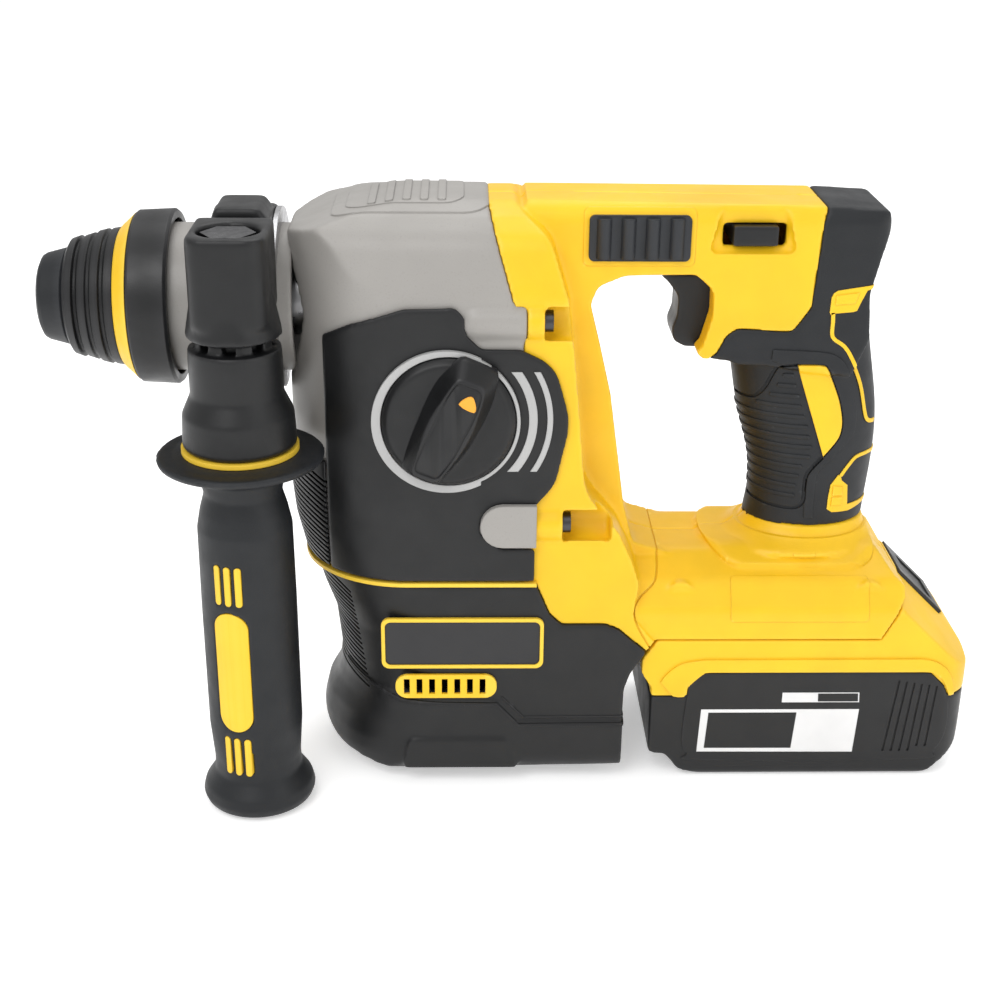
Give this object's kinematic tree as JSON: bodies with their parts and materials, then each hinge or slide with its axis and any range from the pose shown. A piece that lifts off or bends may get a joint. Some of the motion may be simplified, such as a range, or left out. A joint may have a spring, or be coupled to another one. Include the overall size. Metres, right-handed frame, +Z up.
{
  "type": "cordless rotary hammer",
  "caption": "Cordless rotary hammer drill with quick-release tool holder, front side handle, mode dial, D-handle with trigger and a slide-on battery pack.",
  "frame": {"origin": "on the spindle axis at the mouth of the tool holder", "axes": "+X from the nose to the rear along the spindle axis, +Z up, -Y the side with the mode dial"},
  "size_m": [0.3503, 0.1211, 0.2238],
  "materials": {
    "yellow_plastic": "satin moulded",
    "black_plastic": "fine texture",
    "black_rubber": "matt",
    "grey_housing": "satin",
    "grey_trim": "satin",
    "steel": "machined",
    "laminated_iron": "laminated",
    "aluminium": "cast",
    "board": "board",
    "cell_wrap": "shrink film"
  },
  "bodies": {
    "housing": {"gear_housing": "grey_housing", "nose_barrel": "grey_housing", "side_cover_left": "black_plastic", "side_cover_right": "black_plastic", "front_jacket": "black_plastic", "seam_trim": "yellow_plastic", "dial_trim": "grey_trim", "motor_housing": "black_plastic", "nameplate_frame": "yellow_plastic", "nameplate": "black_plastic", "vent_grille": "yellow_plastic", "handle_shell_left": "yellow_plastic", "handle_shell_right": "yellow_plastic", "shell_screws": "steel", "housing_screws": "steel", "side_pads": "black_rubber", "grip_overmould": "black_rubber", "oil_seal": "black_rubber", "bearings": "steel", "bearing_plate": "aluminium", "motor_stator": "laminated_iron", "motor_cradle": "black_plastic", "trigger_switch": "black_plastic", "control_board": "board", "heat_sink": "aluminium", "terminal_block": "black_plastic"},
    "spindle": {"tool_holder": "steel", "dust_cap": "black_rubber", "holder_rings": "steel", "locking_balls": "steel", "sleeve_spring": "steel", "spindle_gear": "steel", "impact_bolt": "steel"},
    "sleeve": {"locking_sleeve": "black_plastic", "sleeve_trim_ring": "yellow_plastic"},
    "piston": {"piston": "steel"},
    "striker": {"striker": "steel"},
    "intermediate_shaft": {"intermediate_shaft": "steel", "wobble_hub": "steel", "bevel_gear": "steel"},
    "wobble_ring": {"wobble_ring": "steel"},
    "rotor": {"motor_rotor": "steel", "cooling_fan": "black_plastic"},
    "mode_dial": {"mode_dial": "black_plastic", "dial_pointer": "yellow_plastic"},
    "trigger": {"trigger": "black_plastic"},
    "reversing_button": {"reversing_button": "black_plastic"},
    "battery": {"battery_case": "black_plastic", "battery_cover": "yellow_plastic", "battery_cells": "cell_wrap", "cell_holder": "black_plastic", "battery_labels": "black_plastic"},
    "battery_latch": {"battery_latch": "black_plastic"},
    "handle_clamp": {"handle_clamp": "black_plastic", "clamp_strap": "steel", "clamp_bolt": "steel"},
    "side_grip": {"side_grip": "black_rubber", "grip_core": "yellow_plastic", "handle_collar": "black_plastic", "grip_trim_ring": "yellow_plastic"}
  },
  "joints": [
    {"name": "spindle_spin", "type": "hinge", "parent": "housing", "child": "spindle", "pos_m": [0, 0, 0], "axis": [1, 0, 0], "continuous": true},
    {"name": "shaft_spin", "type": "hinge", "parent": "housing", "child": "intermediate_shaft", "pos_m": [0.1, 0, -0.034], "axis": [1, 0, 0], "continuous": true},
    {"name": "rotor_spin", "type": "hinge", "parent": "housing", "child": "rotor", "pos_m": [0.155, 0, -0.1], "axis": [0, 0, 1], "continuous": true},
    {"name": "sleeve_pull", "type": "slide", "parent": "spindle", "child": "sleeve", "axis": [1, 0, 0], "range_m": [0, 0.007], "stiffness_N_per_m": 900, "deforming": ["sleeve_spring"]},
    {"name": "wobble_swing", "type": "hinge", "parent": "housing", "child": "wobble_ring", "pos_m": [0.125, 0, -0.034], "axis": [0, 1, 0], "range_deg": [-9, 9]},
    {"name": "piston_stroke", "type": "slide", "parent": "housing", "child": "piston", "axis": [1, 0, 0], "range_m": [-0.0053, 0.0053]},
    {"name": "striker_stroke", "type": "slide", "parent": "spindle", "child": "striker", "axis": [1, 0, 0], "range_m": [-0.001, 0.001]},
    {"name": "mode_dial_turn", "type": "hinge", "parent": "housing", "child": "mode_dial", "pos_m": [0.1486, -0.04, -0.033], "axis": [0, -1, 0], "range_deg": [-60, 120]},
    {"name": "trigger_pull", "type": "slide", "parent": "housing", "child": "trigger", "axis": [1, 0, 0], "range_m": [0, 0.006], "stiffness_N_per_m": 800},
    {"name": "reversing_slide", "type": "slide", "parent": "housing", "child": "reversing_button", "axis": [0, 1, 0], "range_m": [-0.003, 0.003]},
    {"name": "battery_slide", "type": "slide", "parent": "housing", "child": "battery", "axis": [1, 0, 0], "range_m": [0, 0.1]},
    {"name": "latch_press", "type": "slide", "parent": "battery", "child": "battery_latch", "axis": [-0.699, 0, -0.7151], "range_m": [0, 0.0016], "stiffness_N_per_m": 600},
    {"name": "handle_swivel", "type": "hinge", "parent": "housing", "child": "handle_clamp", "pos_m": [0.0755, 0, 0], "axis": [-1, 0, 0], "range_deg": [0, 180]},
    {"name": "grip_screw", "type": "hinge", "parent": "handle_clamp", "child": "side_grip", "pos_m": [0.0755, -0.048, 0], "axis": [0, 0, 1], "range_deg": [0, 720]}
  ],
  "couplings": [
    {"joint": "shaft_spin", "follows": "spindle_spin", "ratio": -1.913},
    {"joint": "rotor_spin", "follows": "spindle_spin", "ratio": -6.3768},
    {"joint": "wobble_swing", "follows": "piston_stroke", "rad_per_m": 29.41}
  ]
}
